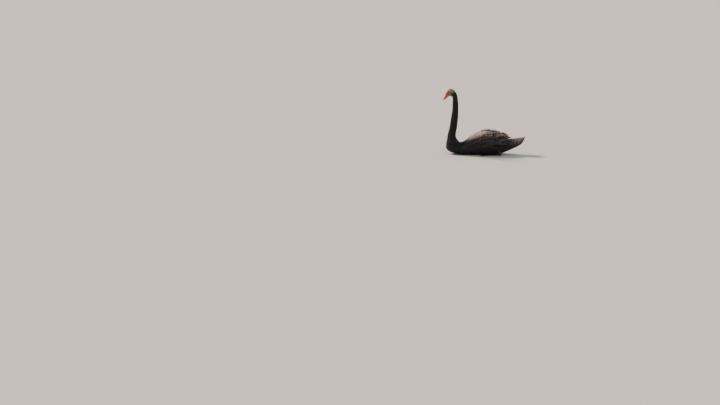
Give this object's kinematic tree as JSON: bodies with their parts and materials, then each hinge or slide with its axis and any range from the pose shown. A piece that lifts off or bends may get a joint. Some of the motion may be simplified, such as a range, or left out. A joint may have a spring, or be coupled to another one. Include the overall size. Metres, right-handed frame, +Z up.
{
  "type": "black swan",
  "caption": "Black swan at life size resting on its belly in a floating pose, neck upright, red bill tipped down, folded wings with ruffled feathers.",
  "frame": {"origin": "centre of the flat patch under the belly, on the ground plane", "axes": "+X towards the tail, along the body's greatest length; +Y towards the bird's right side; +Z up"},
  "size_m": [0.7864, 0.2699, 0.6327],
  "materials": {
    "plumage": "matte",
    "bill": "satin",
    "eye": "gloss",
    "leg_skin": "matte"
  },
  "bodies": {
    "root": {"head": "plumage", "bill_upper": "bill", "bill_lower": "bill", "eye_left": "eye", "eye_right": "eye", "neck_upper": "plumage", "neck_middle": "plumage", "neck_lower": "plumage", "torso": "plumage", "wing_left": "plumage", "wing_right": "plumage", "tail": "plumage", "leg_left": "leg_skin", "leg_right": "leg_skin", "foot_left": "leg_skin", "foot_right": "leg_skin"}
  },
  "joints": []
}
